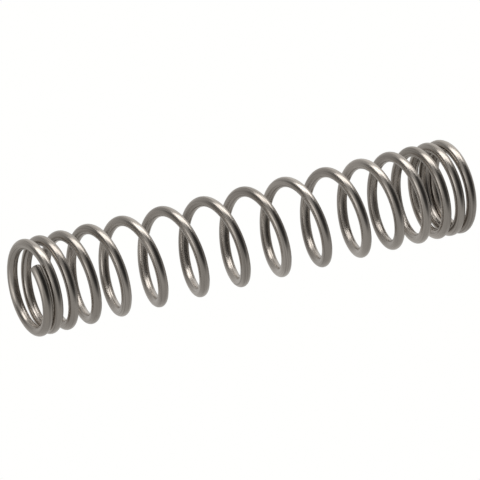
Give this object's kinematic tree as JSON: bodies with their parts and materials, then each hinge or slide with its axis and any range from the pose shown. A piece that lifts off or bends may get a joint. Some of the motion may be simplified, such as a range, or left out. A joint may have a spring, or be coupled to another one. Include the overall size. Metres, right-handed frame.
{
  "type": "small compression spring",
  "caption": "Right-hand coil of round bright wire with closed, unground ends and a pitch that opens from each end to a constant middle; pushes back along its axis.",
  "frame": {"origin": "on the coil's axis, in the plane that the wire's lowest point touches at the foot", "axes": "+Z along the coil's axis from foot to head; +X through the wire's cut end at the foot"},
  "size_m": [0.0094, 0.0094, 0.0474],
  "materials": {
    "spring_steel": "cold-drawn bright stainless spring wire, satin, with fine lines along the wire"
  },
  "bodies": {
    "root": {"spring_wire": "spring_steel"}
  },
  "joints": []
}
